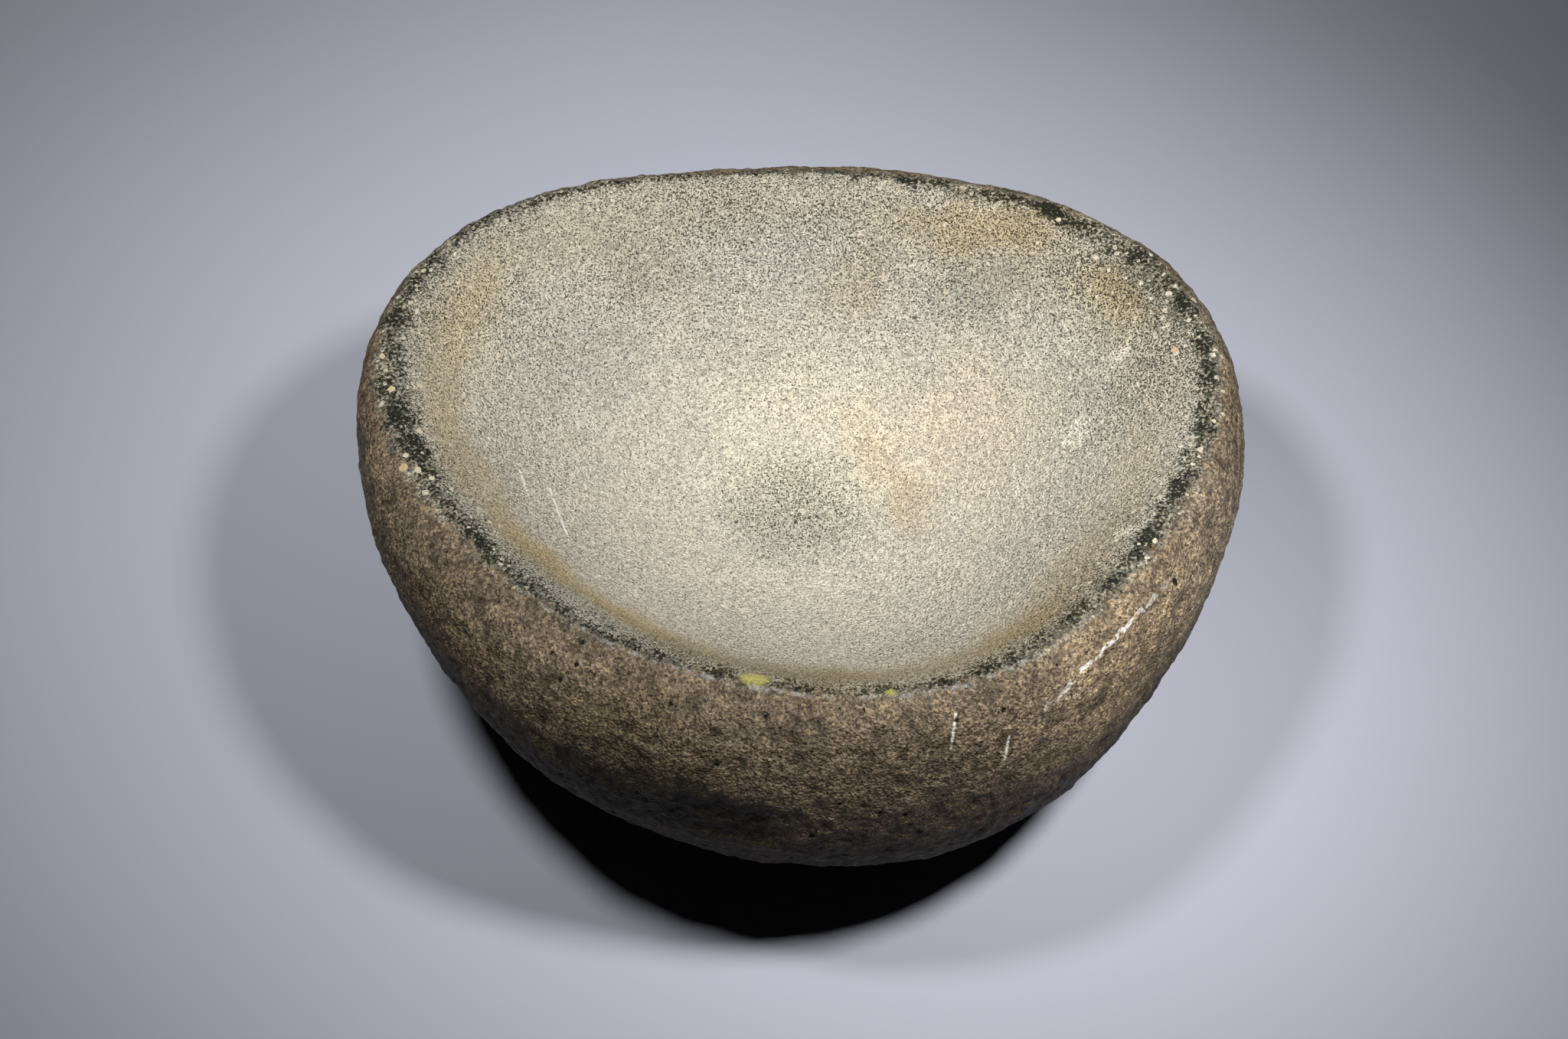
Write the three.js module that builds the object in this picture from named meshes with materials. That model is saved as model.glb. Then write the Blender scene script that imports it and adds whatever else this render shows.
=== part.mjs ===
// A molcajete of the simplest kind: one river boulder with a grinding basin worn into its top.
// Millimetres, +Z up, +X right and +Y back. The origin is the bottom centre of the stone's box.
// The stone is one closed surface. Every upright slice through it has the same four stretches,
// from the middle of the rest face out to the widest line, up to the crest of the rim and
// down into the basin, and slow lobes around the stone make each slice a little different.

import * as THREE from 'three';
import { ParametricGeometry } from 'three/addons/geometries/ParametricGeometry.js';

// Driving dimensions.
const CREST_RADIUS = 101.5;         // mean distance from the middle to the crest of the rim
const CREST_HEIGHT = 102;           // mean height of the crest above the rest face
const WIDEST_OUTSET = 16;           // mean distance from the crest out to the widest line
const WIDEST_HEIGHT = 70;           // mean height of the widest line
const FOOT_SHARE = 0.33;            // size of the rest face, as a share of the widest line
const FOOT_SHIFT = [10, -11];       // the rest face lies off the middle by this X and Y
const UNDERSIDE_POWER = 1.17;       // 1 is an elliptical underside, more is a leaner one
const BASIN_DEPTH = 50;             // from the mean crest down to the deepest spot
const BASIN_SHIFT = [0, -10];       // the deepest spot lies off the middle by this X and Y
const LIP_SHARE = 0.12;             // the last part of the basin's slope, where the lip rounds

// A lobe adds size * cos(count * (angle - direction)). Directions are in degrees, turning
// anticlockwise from +X as seen from above. A count of 2 is an oval, 3 a rounded triangle.
const PLAN_LOBES = [
  { count: 2, size: 0.128, direction: -7 },
  { count: 3, size: 0.059, direction: 31 },
  { count: 4, size: 0.006, direction: 18 },
  { count: 5, size: 0.014, direction: 14 },
];
const CREST_HEIGHT_LOBES = [
  { count: 1, size: 0.023, direction: -112 },
  { count: 2, size: 0.011, direction: 48 },
  { count: 3, size: 0.008, direction: 57 },
];
const OUTSET_LOBES = [
  { count: 1, size: 0.21, direction: -95 },
  { count: 2, size: 0.38, direction: 77 },
  { count: 3, size: 0.16, direction: -26 },
];
const WIDEST_HEIGHT_LOBES = [
  { count: 1, size: 0.14, direction: -159 },
  { count: 2, size: 0.12, direction: 2 },
];
const LIP_LOBES = [
  { count: 2, size: 0.25, direction: 0 },
];

// The four stretches of a slice, in order, with the number of rings that each is cut into.
const STRETCHES = [
  { rings: 1, point: footPoint },
  { rings: 13, point: undersidePoint },
  { rings: 9, point: shoulderPoint },
  { rings: 18, point: basinPoint },
];
const RING_COUNT = STRETCHES.reduce((sum, stretch) => sum + stretch.rings, 0);
const SEGMENTS = 84;                // steps around each ring

const QUARTER_TURN = Math.PI / 2;

// 1 plus the sum of the lobes at this angle, to multiply a mean dimension by.
function lobed(lobes, angle) {
  let factor = 1;
  for (const { count, size, direction } of lobes) {
    factor += size * Math.cos(count * (angle - THREE.MathUtils.degToRad(direction)));
  }
  return factor;
}

function aroundMiddle(angle, radius, height) {
  return new THREE.Vector3(radius * Math.cos(angle), radius * Math.sin(angle), height);
}

function crestRadius(angle) {
  return CREST_RADIUS * lobed(PLAN_LOBES, angle);
}

function crestPoint(angle) {
  return aroundMiddle(angle, crestRadius(angle), CREST_HEIGHT * lobed(CREST_HEIGHT_LOBES, angle));
}

function widestPoint(angle) {
  const radius = crestRadius(angle) + WIDEST_OUTSET * lobed(OUTSET_LOBES, angle);
  return aroundMiddle(angle, radius, WIDEST_HEIGHT * lobed(WIDEST_HEIGHT_LOBES, angle));
}

const footMiddle = new THREE.Vector3(...FOOT_SHIFT, 0);
const deepestSpot = new THREE.Vector3(...BASIN_SHIFT, CREST_HEIGHT - BASIN_DEPTH);

function footEdgePoint(angle) {
  return widestPoint(angle).setZ(0).multiplyScalar(FOOT_SHARE).add(footMiddle);
}

// The flat rest face, from its middle to its edge.
function footPoint(angle, share) {
  return footMiddle.clone().lerp(footEdgePoint(angle), share);
}

// The rounded underside, from the foot's edge, level there, to the widest line, upright there.
function undersidePoint(angle, share) {
  const widest = widestPoint(angle);
  const turn = share * QUARTER_TURN;
  const point = footEdgePoint(angle).lerp(widest, Math.sin(turn) ** UNDERSIDE_POWER);
  return point.setZ(widest.z * (1 - Math.cos(turn)));
}

// The outer shoulder: a quarter ellipse from the widest line up to the crest.
function shoulderPoint(angle, share) {
  const widest = widestPoint(angle);
  const crest = crestPoint(angle);
  const turn = share * QUARTER_TURN;
  const point = crest.clone().lerp(widest, Math.cos(turn));
  return point.setZ(widest.z + (crest.z - widest.z) * Math.sin(turn));
}

// The basin, from the crest down to the deepest spot: two parabolas that meet with one slope,
// a rounded lip and the ground hollow. Its rings lie closer together near the lip.
function basinPoint(angle, share) {
  const outward = Math.cos(share * QUARTER_TURN);
  const lip = LIP_SHARE * lobed(LIP_LOBES, angle);
  const hollowHeight = outward ** 2 / (1 - lip);
  const lipHeight = 1 - (1 - outward) ** 2 / lip;
  const height = outward < 1 - lip ? hollowHeight : lipHeight;
  const crest = crestPoint(angle);
  const point = deepestSpot.clone().lerp(crest, outward);
  return point.setZ(deepestSpot.z + (crest.z - deepestSpot.z) * height);
}

// A point of the whole surface: around it for around = 0 to 1, along a slice for along = 0 to 1.
function surfacePoint(around, along, target) {
  const angle = 2 * Math.PI * (around % 1);
  let ring = along * RING_COUNT;
  let index = 0;
  while (ring > STRETCHES[index].rings) {
    ring -= STRETCHES[index].rings;
    index += 1;
  }
  const stretch = STRETCHES[index];
  target.copy(stretch.point(angle, ring / stretch.rings));
}

function makeMortarStone() {
  const geometry = new ParametricGeometry(surfacePoint, SEGMENTS, RING_COUNT);
  geometry.computeBoundingBox();
  const middle = geometry.boundingBox.getCenter(new THREE.Vector3());
  geometry.translate(-middle.x, -middle.y, 0);
  const material = new THREE.MeshStandardMaterial({
    color: 0x8a8068,
    roughness: 0.9,
    metalness: 0,
  });
  const mesh = new THREE.Mesh(geometry, material);
  mesh.name = 'mortar_stone';
  return mesh;
}

const molcajete = new THREE.Group();
molcajete.add(makeMortarStone());

export default molcajete;
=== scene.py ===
"""The looks of a molcajete made from one river boulder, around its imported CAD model.

Metres, +Z up, +X right and +Y back. The CAD stone is smooth. Here it is copied onto a fine even
mesh, its surface is weathered outside and ground smooth in the basin, and one procedural
material follows it from the pale basin over the dark rim to the brown boulder skin.
"""

import itertools
import math

import bpy
import numpy as np
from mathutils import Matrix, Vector


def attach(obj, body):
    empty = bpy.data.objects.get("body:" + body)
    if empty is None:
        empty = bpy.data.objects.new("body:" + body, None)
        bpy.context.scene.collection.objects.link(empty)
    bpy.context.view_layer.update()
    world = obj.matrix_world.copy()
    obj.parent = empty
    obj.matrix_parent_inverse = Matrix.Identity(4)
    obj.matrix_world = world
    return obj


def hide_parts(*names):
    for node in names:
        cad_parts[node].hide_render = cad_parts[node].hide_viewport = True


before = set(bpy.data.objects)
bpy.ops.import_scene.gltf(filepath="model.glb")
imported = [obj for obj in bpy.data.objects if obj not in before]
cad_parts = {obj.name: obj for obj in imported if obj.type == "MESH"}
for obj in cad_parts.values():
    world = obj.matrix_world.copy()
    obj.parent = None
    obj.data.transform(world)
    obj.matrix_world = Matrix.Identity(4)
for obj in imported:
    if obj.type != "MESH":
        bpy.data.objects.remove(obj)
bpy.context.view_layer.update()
scene = bpy.context.scene
MM = 0.001

# Where the photograph was taken from, and how the stone was lit.
AIM = Vector((-5.6, -33.3, 100.0)) * MM
CAMERA_DISTANCE = 575.3 * MM
CAMERA_ELEVATION = math.radians(55.4)
LENS_MM = 50.0
LAMP_WIDTH = 90.0 * MM
AMBIENT = 0.004

# The fine mesh and its relief. A patch is a middle and its radii, in millimetres.
VOXEL = 0.8 * MM
LATTICE = 32                               # the random fields repeat after this many cells
HOLLOW = ((-22, -107, 72), (30, 18, 12))   # low on the wall at the front left
PIT_DEPTH = 0.8 * MM

# Zones of the rim in eight directions, anticlockwise from the right (+X). Distances are in
# millimetres from the crest of the rim, negative on the basin's side.
DARK_BAND_FROM = (-6.5, -5.5, 3, -2, -7, -2.2, -2.5, -5)
DARK_BAND_TO = (-0.5, 2, 5, 2, 2, 0, 0.3, 0)
OCHRE_RING_MIDDLE = (-18, -14, -4, -12, -15, -14, -7, -12)
OCHRE_RING_WIDTH = (16, 20, 12, 14, 10, 9, 14, 12)
OCHRE_RING_SHARE = (0.3, 0.4, 0.3, 0.4, 0.8, 1.0, 1.0, 0.9)
OCHRE_TINT = (0.78, 0.68, 0.49)
RIM_PAINTED_SHADE = (0.20, 0.05, 0.00, 0.05, 0.20, 0.38, 0.35, 0.30)   # how much painted shade darkens the basin toward the rim
FOOT_PAINTED_SHADE_TINT = (0.18, 0.14, 0.04)                                 # painted shade on the skin under the bulge

# Patches of coarser grain, and how much coarser.
COARSE_PATCHES = (
    ((-2, 2, 52), (30, 28, 15), 0.9),                       # where the basin is deepest
    ((90, 52, 100), (42, 42, 25), 0.7),                     # the rim at the back right
)

# Stains: patches with the tint that the stone's colour is multiplied by.
STAINS = (
    ((3, 28, 58), (50, 42, 30), (1.22, 1.19, 1.13)),        # the cream bottom of the basin
    ((-2, 2, 52), (31, 26, 13), (0.80, 0.83, 0.81)),        # grey-green, where it is deepest
    ((17, 26, 58), (12, 16, 12), (1.00, 0.96, 0.91)),       # rust streak, its upper part
    ((24, 14, 57), (11, 18, 12), (0.96, 0.91, 0.84)),       # rust streak, its middle
    ((30, 0, 57), (11, 18, 12), (0.93, 0.87, 0.79)),        # rust streak, its lower part
    ((52, 24, 64), (38, 44, 26), (1.05, 1.00, 0.94)),       # pinkish beige right of the middle
    ((-6, 72, 86), (38, 22, 20), (0.95, 0.98, 1.01)),       # blue-grey at the back
    ((-45, 68, 85), (26, 15, 16), (0.88, 0.86, 0.84)),      # brown-grey at the back left
    ((14, 64, 82), (20, 14, 16), (0.94, 0.88, 0.80)),       # tan at the back
    ((-65, 38, 75), (28, 24, 24), (0.90, 0.92, 0.94)),      # grey at the left
    ((-95, 40, 93), (13, 32, 14), (1.10, 1.07, 1.00)),      # pale by the left rim
    ((81, 22, 81), (26, 34, 24), (0.90, 0.93, 0.92)),       # grey at the right
    ((55, 73, 98), (42, 11, 14), (0.95, 0.87, 0.72)),       # ochre at the back right
    ((88, 47, 95), (14, 20, 12), (0.98, 0.90, 0.74)),       # ochre further to the right
    ((52, 59, 85), (22, 15, 14), (0.80, 0.81, 0.80)),       # grey inside that ochre
    ((99, 50, 101), (18, 36, 14), (0.75, 0.75, 0.72)),      # dark coarse rim at the back right
    ((89, 32, 89), (6, 4, 6), (1.50, 1.52, 1.55)),          # soft whitish patches at the right
    ((76, 12, 77), (5, 5, 5), (1.40, 1.42, 1.45)),
    ((82, -34, 95), (6, 4, 5), (1.50, 1.52, 1.55)),
)
SKIN_STAINS_AND_PAINTED_LIGHT = (                            # the same, outside the crest only; some paint light and shade
    ((-95, -60, 80), (45, 40, 30), (0.70, 0.68, 0.62)),     # darker at the front left
    ((-45, -90, 97), (30, 14, 12), (0.86, 0.85, 0.77)),     # darker skin just below the crest
    ((-52, -98, 75), (66, 38, 25), (0.44, 0.45, 0.36)),     # painted shade on the shaded side, low at the front left
    ((-22, -107, 72), (26, 16, 12), (0.70, 0.67, 0.58)),    # painted shade in a hollow in it
    ((80, -72, 84), (52, 52, 28), (2.00, 1.98, 1.90)),      # painted light, paler low at the front right
    ((117, -40, 74), (30, 50, 44), (1.92, 1.99, 2.08)),     # painted light, paler at the right
    ((105, -26, 100), (8, 11, 9), (1.15, 1.15, 1.20)),      # a smooth pinkish patch
)

# Marks, in millimetres.
LICHEN_SPOTS = (((-13, -84, 104), (7, 4, 4)), ((21, -88, 104), (3, 2, 3)))
SCRATCHES = (
    ((-71, -7.5, 77.5), (-65, -25, 81)),
    ((-79, -5, 83), (-76, -14, 84)),
    ((37, -93, 101.5), (36, -99, 96)),
    ((51, -94, 92), (50, -98, 88)),
)
SPOTS = (                                  # large crystals and a pit: middle, radius, colour
    ((-107, -19, 104), 1.6, (0.38, 0.28, 0.16)),
    ((-103, -20, 104), 1.3, (0.38, 0.33, 0.24)),
    ((-113, 8, 103), 1.4, (0.38, 0.32, 0.20)),
    ((-117, 20, 103), 1.2, (0.38, 0.31, 0.19)),
    ((-106, 11, 100), 1.1, (0.40, 0.34, 0.23)),
    ((-104, -6, 103), 1.2, (0.40, 0.34, 0.23)),
    ((104, 26, 98), 1.3, (0.38, 0.27, 0.16)),
    ((97, -49, 94), 1.2, (0.012, 0.010, 0.008)),
)
VEIN_NORMAL = (0.713, -0.647, -0.271)      # a pale vein cuts the wall at the front right
VEIN_OFFSET = 74.2
VEIN_MIDDLE = (78, -72, 93)
VEIN_REACH = 36


def add_camera():
    back = Vector((0.0, -math.cos(CAMERA_ELEVATION), math.sin(CAMERA_ELEVATION)))
    data = bpy.data.cameras.new("camera")
    data.lens = LENS_MM
    camera = bpy.data.objects.new("camera", data)
    camera.location = AIM + back * CAMERA_DISTANCE
    camera.rotation_euler = (math.pi / 2 - CAMERA_ELEVATION, 0.0, 0.0)
    scene.collection.objects.link(camera)
    scene.camera = camera


def add_lamp(name, place, aim, spread, watts):
    """A round soft lamp. Its place and where on the floor it aims are in millimetres."""
    place = Vector(place) * MM
    data = bpy.data.lights.new(name, "AREA")
    data.shape = "DISK"
    data.size = LAMP_WIDTH
    data.spread = math.radians(spread)
    data.energy = watts
    lamp = bpy.data.objects.new(name, data)
    lamp.location = place
    lamp.rotation_euler = (place - Vector(aim) * MM).to_track_quat("Z", "Y").to_euler()
    lamp.visible_camera = False
    scene.collection.objects.link(lamp)


def add_ambient_light():
    world = bpy.data.worlds.new("studio")
    world.use_nodes = True
    background = world.node_tree.nodes["Background"]
    background.inputs["Color"].default_value = (0.9, 0.93, 1.0, 1.0)
    background.inputs["Strength"].default_value = AMBIENT
    scene.world = world


class Graph:
    """Adds nodes to one material. Each method returns the new node's output socket."""

    def __init__(self, name):
        self.material = bpy.data.materials.new(name)
        self.material.use_nodes = True
        self.tree = self.material.node_tree
        self.tree.nodes.clear()
        self.place = self.add("ShaderNodeTexCoord", output="Object")

    def add(self, kind, inputs=None, output=0, **settings):
        """Adds a node. Each input is a number, a colour or another node's output."""
        node = self.tree.nodes.new(kind)
        for name, value in settings.items():
            setattr(node, name, value)
        for name, value in (inputs or {}).items():
            socket = node.inputs[name]
            if isinstance(value, bpy.types.NodeSocket):
                self.tree.links.new(value, socket)
            else:
                socket.default_value = value
        return None if output is None else node.outputs[output]

    def vertex(self, name):
        """A number stored on the mesh's vertices."""
        return self.add("ShaderNodeAttribute", output="Fac", attribute_name=name)

    def math(self, operation, first, second=0.0):
        return self.add("ShaderNodeMath", {0: first, 1: second}, operation=operation)

    def noise(self, size, detail=2.0, roughness=0.5):
        """Cloudy numbers around 0.5 whose blobs are about this size."""
        inputs = {"Vector": self.place, "Scale": 1 / size, "Detail": detail, "Roughness": roughness}
        return self.add("ShaderNodeTexNoise", inputs)

    def cells(self, size, output="Distance"):
        """Distance to the nearest of random points this far apart, or that point's colour."""
        return self.add("ShaderNodeTexVoronoi", {"Vector": self.place, "Scale": 1 / size}, output)

    def rise(self, value, low, high):
        """0 below low, 1 above high, and smooth between. With low above high it falls instead."""
        inputs = {"Value": value, "From Min": low, "From Max": high}
        return self.add("ShaderNodeMapRange", inputs, interpolation_type="SMOOTHSTEP")

    def spot(self, centre, radius, stretch=(1.0, 1.0, 1.0)):
        """1 at the centre, fading to 0 at the radius. Both are in millimetres, and each axis may
        stretch the radius."""
        centre = tuple(value * MM for value in centre)
        offset = self.add("ShaderNodeVectorMath", {0: self.place, 1: centre}, operation="SUBTRACT")
        scaled = self.add("ShaderNodeVectorMath", {0: offset, 1: stretch}, operation="DIVIDE")
        length = self.add("ShaderNodeVectorMath", {0: scaled}, "Value", operation="LENGTH")
        return self.rise(length, radius * MM, 0.2 * radius * MM)

    def dots(self, spacing, rarity):
        """1 on ragged dots of many sizes, one near each random point whose luck is above rarity."""
        luck = self.math("SUBTRACT", self.cells(spacing, "Color"), rarity)
        reach = self.math("MULTIPLY", luck, 0.5)
        ragged = self.math("MULTIPLY", self.noise(0.7 * MM, 2), 0.5)
        distance = self.math("ADD", self.cells(spacing), ragged)
        return self.rise(self.math("SUBTRACT", distance, reach), 0.24, 0.17)

    def streak(self, start, end, width):
        """1 on the line between two places, fading to 0 at this distance from it. Heights count
        for less, so that the line follows the curved surface."""
        flatten = Vector((1.0, 1.0, 0.3))
        start = Vector(start) * MM * flatten
        along = Vector(end) * MM * flatten - start
        flat = self.add("ShaderNodeVectorMath", {0: self.place, 1: flatten}, operation="MULTIPLY")
        offset = self.add("ShaderNodeVectorMath", {0: flat, 1: start}, operation="SUBTRACT")
        inputs = {0: offset, 1: along / along.length_squared}
        share = self.add("ShaderNodeVectorMath", inputs, "Value", operation="DOT_PRODUCT")
        share = self.add("ShaderNodeClamp", {"Value": share})
        nearest = self.add("ShaderNodeVectorMath", {0: along, "Scale": share}, operation="SCALE")
        inputs = {0: offset, 1: nearest}
        distance = self.add("ShaderNodeVectorMath", inputs, "Value", operation="DISTANCE")
        return self.rise(distance, width, 0.2 * width)

    def mix(self, share, first, second):
        """The first colour where share is 0, the second where it is 1."""
        inputs = {0: share}
        for index, colour in ((6, first), (7, second)):
            inputs[index] = colour if isinstance(colour, bpy.types.NodeSocket) else (*colour, 1.0)
        return self.add("ShaderNodeMix", inputs, 2, data_type="RGBA")

    def finish(self, colour, roughness, normal=None, specular=0.35):
        """Ends the graph in one Principled shader and returns the material."""
        inputs = {"Base Color": colour, "Roughness": roughness, "Specular IOR Level": specular}
        if normal is not None:
            inputs["Normal"] = normal
        surface = self.add("ShaderNodeBsdfPrincipled", inputs, "BSDF")
        self.add("ShaderNodeOutputMaterial", {"Surface": surface}, output=None)
        return self.material


def floor_material():
    graph = Graph("floor")
    cloud = graph.rise(graph.noise(400 * MM), 0.3, 0.7)
    colour = graph.mix(cloud, (0.325, 0.335, 0.39), (0.345, 0.355, 0.41))
    return graph.finish(colour, 0.9)


def add_floor():
    mesh = bpy.data.meshes.new("floor")
    half = 1.5
    corners = [(-half, -half, 0.0), (half, -half, 0.0), (half, half, 0.0), (-half, half, 0.0)]
    mesh.from_pydata(corners, [], [(0, 1, 2, 3)])
    mesh.materials.append(floor_material())
    floor = bpy.data.objects.new("floor", mesh)
    scene.collection.objects.link(floor)


def even_copy(node, name):
    """A copy of a CAD node as a fine mesh of even quads, its facets smoothed away."""
    piece = bpy.data.objects.new(name, node.data.copy())
    scene.collection.objects.link(piece)
    weld = piece.modifiers.new("weld", "WELD")
    weld.merge_threshold = 0.01 * MM
    remesh = piece.modifiers.new("remesh", "REMESH")
    remesh.mode = "VOXEL"
    remesh.voxel_size = VOXEL
    smooth = piece.modifiers.new("smooth", "SMOOTH")
    smooth.factor = 0.5
    smooth.iterations = 15
    bpy.context.view_layer.update()
    evaluated = piece.evaluated_get(bpy.context.evaluated_depsgraph_get())
    mesh = bpy.data.meshes.new_from_object(evaluated)
    piece.modifiers.clear()
    piece.data = mesh
    mesh.materials.clear()
    mesh.polygons.foreach_set("use_smooth", np.ones(len(mesh.polygons), bool))
    return piece


def as_rows(items, name):
    """A vector of every vertex, such as its place or its normal, as the rows of an array."""
    values = np.empty(len(items) * 3)
    items.foreach_get(name, values)
    return values.reshape(-1, 3)


def lattice_place(points, cell):
    """The lattice cell that each point is in, and where in that cell it is, from 0 to 1."""
    scaled = points / cell
    base = np.floor(scaled).astype(int)
    return base, scaled - base


def hills(points, cell, seed):
    """Smooth random heights, about -1 to 1, with hills and dips about one cell wide."""
    random = np.random.default_rng(seed)
    slopes = random.normal(size=(LATTICE, LATTICE, LATTICE, 3))
    base, inside = lattice_place(points, cell)
    fade = inside ** 3 * (inside * (6 * inside - 15) + 10)
    height = np.zeros(len(points))
    for corner in itertools.product((0, 1), repeat=3):
        column, row, layer = ((base + corner) % LATTICE).T
        slope = slopes[column, row, layer]
        weight = np.prod(np.where(corner, fade, 1 - fade), axis=1)
        height += weight * ((inside - corner) * slope).sum(axis=1)
    return height


def craters(points, cell, share, radii, seed):
    """Depths, 0 to 1, of round hollows with radii in this range, one in this share of the cells."""
    random = np.random.default_rng(seed)
    centres = random.random((LATTICE, LATTICE, LATTICE, 3))
    reaches = random.uniform(*radii, (LATTICE, LATTICE, LATTICE))
    reaches *= random.random((LATTICE, LATTICE, LATTICE)) < share
    base, inside = lattice_place(points, cell)
    depth = np.zeros(len(points))
    for corner in itertools.product((-1, 0, 1), repeat=3):
        column, row, layer = ((base + corner) % LATTICE).T
        offset = inside - corner - centres[column, row, layer]
        distance = np.linalg.norm(offset, axis=1) * cell
        reach = np.maximum(reaches[column, row, layer], 0.001 * MM)
        depth = np.maximum(depth, 1 - (distance / reach) ** 2)
    return depth


def ramp(values, low, high):
    """0 below low, 1 above high, and smooth between."""
    share = np.clip((values - low) / (high - low), 0, 1)
    return share * share * (3 - 2 * share)


def crest_line(node):
    """The crest of the rim all the way round: angles, radii and heights of its vertices."""
    points = as_rows(node.data.vertices, "co")
    angles = np.arctan2(points[:, 1], points[:, 0])
    slices = 60
    order = np.digitize(angles, np.linspace(-math.pi, math.pi, slices + 1)) - 1
    highest = [max(np.flatnonzero(order == i), key=lambda v: points[v, 2]) for i in range(slices)]
    highest = sorted(highest, key=lambda vertex: angles[vertex])
    radii = np.hypot(points[highest, 0], points[highest, 1])
    return angles[highest], radii, points[highest, 2]


def distance_from_crest(points, normals, node):
    """How far each point lies from the crest: negative in the basin, positive outside."""
    crest_angles, crest_radii, crest_heights = crest_line(node)
    angles = np.arctan2(points[:, 1], points[:, 0])
    radii = np.hypot(points[:, 0], points[:, 1])
    outward = radii - np.interp(angles, crest_angles, crest_radii, period=2 * math.pi)
    drop = np.interp(angles, crest_angles, crest_heights, period=2 * math.pi) - points[:, 2]
    in_basin = (outward < 0) & (normals[:, 2] > 0)
    return np.where(in_basin, outward, np.hypot(outward, drop))


def round_the_rim(angles, eighths):
    """A number given in eight directions, worked out for every angle between them."""
    return np.interp(angles, np.arange(8) * math.pi / 4, eighths, period=2 * math.pi)


def patch(points, middle, radii):
    """1 in the middle of an egg-shaped patch, fading to 0 at its radii, which are millimetres."""
    offset = (points / MM - middle) / radii
    return 1 - ramp(np.linalg.norm(offset, axis=1), 0.25, 1.0)


def store(mesh, name, values):
    """Stores a number or a colour for every vertex, for the material to read."""
    kind = "FLOAT" if values.ndim == 1 else "FLOAT_COLOR"
    field = "value" if values.ndim == 1 else "color"
    attribute = mesh.attributes.new(name, kind, "POINT")
    attribute.data.foreach_set(field, values.astype(np.float32).ravel())


def ochre_ring(points, angles, from_crest):
    """How strongly the ochre ring inside the rim shows, 0 to 1."""
    wander = 3 * hills(points, 18 * MM, seed=11) + 1.5 * hills(points, 7 * MM, seed=12)
    offset = from_crest + wander - round_the_rim(angles, OCHRE_RING_MIDDLE)
    ring = 1 - ramp(np.abs(offset) / round_the_rim(angles, OCHRE_RING_WIDTH), 0.1, 1.0)
    return ring * round_the_rim(angles, OCHRE_RING_SHARE) * (0.9 + 0.3 * hills(points, 25 * MM, 16))


def stain_and_painted_light_colours(points, angles, from_crest, ring):
    """The tint of every vertex: the ochre ring, painted shade toward the rim and on the foot, and
    the separate stains, some of them painted light and shade.
    """
    tint = 1 + ring[:, None] * (np.array(OCHRE_TINT) - 1)
    # painted shade: the basin darker toward the rim
    shade = ramp(from_crest, -17, -4) * (from_crest < 0) * round_the_rim(angles, RIM_PAINTED_SHADE)
    tint *= 1 - shade[:, None]
    wobble = np.stack([hills(points, 14 * MM, seed) for seed in (13, 14, 15)], axis=1)
    # painted shade: the skin is darker toward the foot, under the bulge
    low = 1 - ramp(points[:, 2], 40 * MM, 95 * MM)
    tint *= 1 + low[:, None] * (np.array(FOOT_PAINTED_SHADE_TINT) - 1) * (from_crest > 0)[:, None]
    outside = ramp(from_crest, -1, 2)
    # some of these patches are painted light and painted shade
    for stains, where in ((STAINS, 1), (SKIN_STAINS_AND_PAINTED_LIGHT, outside)):
        for middle, radii, colour in stains:
            share = where * patch(points + 5 * MM * wobble, middle, radii)
            tint *= 1 + share[:, None] * (np.array(colour) - 1)
    return np.column_stack([tint, np.ones(len(tint))])


def large_relief(points, outside):
    """Lumps and dents, gentle in the basin, and the hollow in the wall."""
    rough = 0.2 + 0.8 * outside
    lumps = 0.8 * MM * hills(points, 38 * MM, seed=1)
    dents = 0.45 * MM * hills(points, 13 * MM, seed=2)
    return rough * (lumps + dents) - 1.2 * MM * patch(points, *HOLLOW)


def small_relief(points, outside):
    """Pecks, grain and chips. The skin's colour follows them too, with painted light on their high
    spots and painted shade in their hollows.
    """
    pecks = 0.30 * MM * (0.2 + 0.8 * outside) * hills(points, 5 * MM, seed=3)
    grain = 0.30 * MM * (0.3 + 0.7 * outside) * hills(points, 2.2 * MM, seed=4)
    chips = 0.3 * MM * outside * craters(points, 6 * MM, 0.8, (2 * MM, 5 * MM), seed=7)
    return pecks + grain - chips


def coarseness(points, from_crest, ring):
    """How coarse the grain is: about 0 in the basin, over 1 by the rim, less in the ochre ring."""
    coarse = ramp(from_crest, -70, -10) * (0.75 + 0.5 * hills(points, 30 * MM, seed=6))
    coarse += 0.5 * ramp(from_crest, -25, -6)
    for middle, radii, amount in COARSE_PATCHES:
        coarse += amount * patch(points, middle, radii)
    return coarse - 0.8 * ring


def store_zones(mesh, points, from_crest, relief, pits):
    """Stores what the material reads at every vertex. Distances from the crest are in mm."""
    angles = np.arctan2(points[:, 1], points[:, 0])
    inner = from_crest - round_the_rim(angles, DARK_BAND_FROM)
    outer = round_the_rim(angles, DARK_BAND_TO) - from_crest
    ring = ochre_ring(points, angles, from_crest)
    lichen = [patch(points, *spot) for spot in LICHEN_SPOTS]
    store(mesh, "from_crest_mm", from_crest)
    store(mesh, "into_dark_band_mm", np.minimum(inner, outer))
    store(mesh, "past_dark_band_mm", -outer)
    store(mesh, "front", ramp(-np.sin(angles), 0.5, 0.9))
    store(mesh, "coarse", coarseness(points, from_crest, ring))
    store(mesh, "relief_mm", relief / MM)
    store(mesh, "pit", pits)
    store(mesh, "lichen", np.maximum.reduce(lichen))
    store(mesh, "stain_and_painted_light", stain_and_painted_light_colours(points, angles, from_crest, ring))


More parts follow.
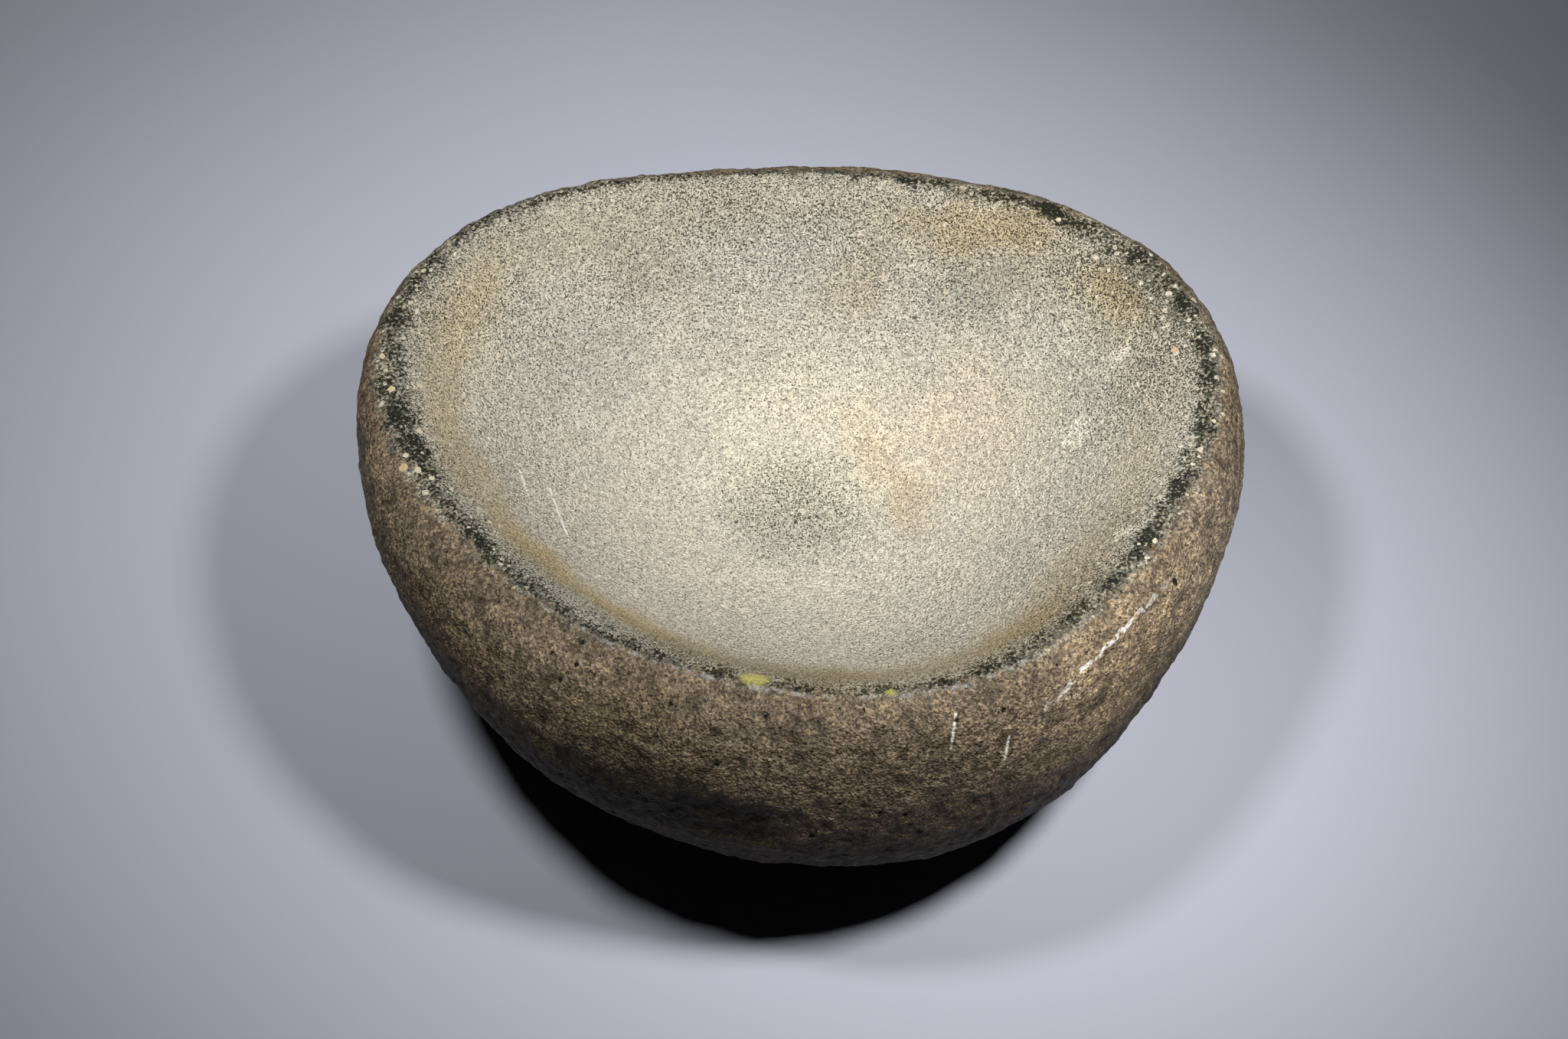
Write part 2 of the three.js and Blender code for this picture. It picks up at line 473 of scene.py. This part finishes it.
def weather(piece, node):
    """Gives the smooth stone its lumps, pecked skin, pits and ground basin, and stores what its
    material needs to know about every vertex."""
    mesh = piece.data
    points = as_rows(mesh.vertices, "co")
    normals = as_rows(mesh.vertex_normals, "vector")
    from_crest = distance_from_crest(points, normals, node)
    outside = ramp(from_crest, -12 * MM, 4 * MM)
    relief = small_relief(points, outside)
    pits = craters(points, 5 * MM, 0.4, (0.4 * MM, 1.0 * MM), seed=5)
    pits *= 0.15 + 0.85 * outside
    height = large_relief(points, outside) + relief - PIT_DEPTH * pits
    moved = points + normals * height[:, None]
    moved[:, 2] = np.maximum(moved[:, 2], 0.0)
    mesh.vertices.foreach_set("co", moved.ravel())
    mesh.update()
    store_zones(mesh, points, from_crest / MM, relief, pits)


def basin_colour(graph, grains, coarse):
    """Finely ground stone: pale grains with specks, darker and more of them where it is coarse."""
    clouds = graph.rise(graph.noise(14 * MM, 4, 0.6), 0.3, 0.7)
    pale = graph.mix(grains, (0.255, 0.236, 0.191), (0.43, 0.396, 0.322))
    pale = graph.mix(graph.math("MULTIPLY", clouds, 0.3), pale, (0.26, 0.249, 0.216))
    pale = graph.mix(graph.rise(graph.noise(0.55 * MM, 2), 0.59, 0.65), pale, (0.54, 0.50, 0.41))
    dark = graph.mix(coarse, (0.075, 0.071, 0.059), (0.042, 0.041, 0.032))
    specks = graph.math("ADD", graph.noise(0.5 * MM, 2), graph.math("MULTIPLY", coarse, 0.06))
    return graph.mix(graph.rise(specks, 0.57, 0.63), pale, dark)


def rim_colour(graph, grains):
    """Dark, unground stone on top of the rim, with pale grains standing out of it."""
    pale = graph.mix(grains, (0.07, 0.068, 0.045), (0.33, 0.30, 0.225))
    worn = graph.math("MULTIPLY", graph.noise(9 * MM, 2), 0.6)
    bare = graph.math("ADD", graph.noise(0.9 * MM, 3, 0.6), worn)
    return graph.mix(graph.rise(bare, 0.76, 0.92), (0.012, 0.0125, 0.008), pale)


def wall_colour(graph, grains):
    """The boulder's weathered skin: brown, tan on its high grains with painted light, and darkened
    by painted shade in its hollows.
    """
    brown = graph.mix(grains, (0.050, 0.038, 0.026), (0.135, 0.104, 0.070))
    blotches = graph.math("MULTIPLY", graph.noise(12 * MM, 5, 0.7), 0.25)
    # painted light: high relief turns tan more often
    relief = graph.math("MULTIPLY", graph.vertex("relief_mm"), 0.12)
    bare = graph.math("ADD", graph.noise(1.0 * MM, 4, 0.7), blotches)
    bare = graph.math("ADD", bare, relief)
    colour = graph.mix(graph.rise(bare, 0.60, 0.80), brown, (0.28, 0.206, 0.125))
    holes = graph.rise(graph.noise(0.9 * MM, 2), 0.40, 0.32)
    colour = graph.mix(graph.math("MULTIPLY", holes, 0.8), colour, (0.015, 0.012, 0.009))
    # painted shade: darker in the hollows of the relief
    hollows = graph.rise(graph.vertex("relief_mm"), 0.0, -0.7)
    return graph.mix(graph.math("MULTIPLY", hollows, 0.7), colour, (0.020, 0.015, 0.010))


def vein(graph):
    """1 on a thin broken sheet of pale mineral that comes to the surface at the front right."""
    inputs = {0: graph.place, 1: VEIN_NORMAL}
    offset = graph.add("ShaderNodeVectorMath", inputs, "Value", operation="DOT_PRODUCT")
    offset = graph.math("SUBTRACT", offset, VEIN_OFFSET * MM)
    wobble = graph.math("MULTIPLY", graph.math("SUBTRACT", graph.noise(6 * MM), 0.5), 4 * MM)
    offset = graph.math("ABSOLUTE", graph.math("ADD", offset, wobble))
    dashes = graph.rise(graph.noise(2.2 * MM, 1), 0.40, 0.48)
    near = graph.spot(VEIN_MIDDLE, VEIN_REACH)
    return graph.math("MULTIPLY", graph.rise(offset, 0.7 * MM, 0.35 * MM),
                      graph.math("MULTIPLY", dashes, near))


def marks(graph, colour, crest):
    """Adds the single marks: a floury whitish line with a painted highlight on the front crest,
    lichen, scratches, the vein and spots.
    """
    # a painted highlight, with whitish flour, along the line of the front crest
    line = graph.math("MULTIPLY", graph.rise(crest, -0.3, 0.3), graph.rise(crest, 1.8, 0.7))
    flour_and_highlight = graph.math("MULTIPLY", graph.rise(graph.noise(2.5 * MM, 4, 0.7), 0.45, 0.66), line)
    flour_and_highlight = graph.math("MULTIPLY", flour_and_highlight, graph.vertex("front"))
    colour = graph.mix(flour_and_highlight, colour, (0.20, 0.195, 0.185))
    growth = graph.math("ADD", graph.vertex("lichen"), graph.noise(1.0 * MM, 3, 0.7))
    colour = graph.mix(graph.rise(growth, 0.85, 1.75), colour, (0.29, 0.265, 0.075))
    worn = vein(graph)
    broken = graph.rise(graph.noise(1.5 * MM), 0.30, 0.50)
    for start, end in SCRATCHES:
        scratch = graph.math("MULTIPLY", graph.streak(start, end, 0.55 * MM), broken)
        worn = graph.math("MAXIMUM", worn, scratch)
    colour = graph.mix(worn, colour, (0.52, 0.50, 0.46))
    ragged = graph.noise(0.9 * MM, 2)
    for middle, radius, tone in SPOTS:
        whole = 1.2 * radius               # its ragged edge takes some of it away
        spot = graph.math("ADD", graph.spot(middle, whole, stretch=(1.0, 1.0, 1.5)), ragged)
        colour = graph.mix(graph.rise(spot, 0.85, 1.0), colour, tone)
    return colour


def crystals(graph, crest, coarse):
    """1 on pale crystals: more where the grain is coarse, none on the wall or the front crest."""
    rarity = graph.math("SUBTRACT", 0.41, graph.math("MULTIPLY", coarse, 0.22))
    ground = graph.rise(crest, 3.0, 1.0)
    behind = graph.rise(graph.vertex("front"), 0.5, 0.0)
    bare = graph.math("MULTIPLY", ground, behind)
    return graph.math("MULTIPLY", graph.dots(2.5 * MM, rarity), bare)


def black_pits(graph, crest):
    """1 in the pits: the painted ones on the wall and those in the mesh itself."""
    painted = graph.math("MULTIPLY", graph.dots(2.9 * MM, 0.56), graph.rise(crest, -3.0, 3.0))
    return graph.math("MAXIMUM", painted, graph.rise(graph.vertex("pit"), 0.1, 0.6))


def zones(graph, coarse, grains):
    """The colours of the basin, the wall and the dark band between them, with ragged edges."""
    wander = graph.math("ADD", graph.noise(5 * MM, 3, 0.6), graph.noise(0.8 * MM, 2))
    wander = graph.math("MULTIPLY", graph.math("SUBTRACT", wander, 1.0), 11.0)
    band = graph.math("ADD", graph.vertex("into_dark_band_mm"), wander)
    past = graph.math("SUBTRACT", graph.vertex("past_dark_band_mm"), wander)
    basin = basin_colour(graph, grains, coarse)
    colour = graph.mix(graph.rise(past, -0.8, 0.8), basin, wall_colour(graph, grains))
    return graph.mix(graph.rise(band, -1.0, 1.6), colour, rim_colour(graph, grains))


def stone_material():
    graph = Graph("volcanic_stone")
    crest = graph.vertex("from_crest_mm")
    coarse = graph.vertex("coarse")
    grains = graph.rise(graph.cells(0.75 * MM, "Color"), 0.2, 0.8)
    # tints from the stains, and painted light and shade, stored on the vertices
    stain_and_painted_light = graph.add("ShaderNodeAttribute", output="Color", attribute_name="stain_and_painted_light")
    colour = graph.add("ShaderNodeMix", {0: 1.0, 6: zones(graph, coarse, grains), 7: stain_and_painted_light}, 2,
                       data_type="RGBA", blend_type="MULTIPLY")
    cream = graph.mix(grains, (0.27, 0.236, 0.17), (0.45, 0.405, 0.31))
    colour = graph.mix(crystals(graph, crest, coarse), colour, cream)
    colour = marks(graph, colour, crest)
    colour = graph.mix(black_pits(graph, crest), colour, (0.007, 0.006, 0.005))
    roughness = graph.rise(graph.noise(2 * MM), -0.6, 1.4)
    bumps = graph.math("ADD", graph.noise(0.7 * MM, 2), graph.noise(1.8 * MM, 3, 0.6))
    normal = graph.add("ShaderNodeBump", {"Height": bumps, "Strength": 1.0, "Distance": 0.75 * MM})
    return graph.finish(colour, roughness, normal, specular=0.12)


def add_stone():
    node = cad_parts["mortar_stone"]
    stone = even_copy(node, "stone")
    weather(stone, node)
    stone.data.materials.append(stone_material())
    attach(stone, "root")
    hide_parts("mortar_stone")


scene.view_settings.view_transform = "Standard"
add_camera()
add_lamp("right_lamp", place=(240, -92, 600), aim=(40, -8, 0), spread=57, watts=0.57)
add_lamp("left_lamp", place=(-164, -50, 593), aim=(-47, 253, 0), spread=108, watts=1.38)
add_ambient_light()
add_floor()
add_stone()
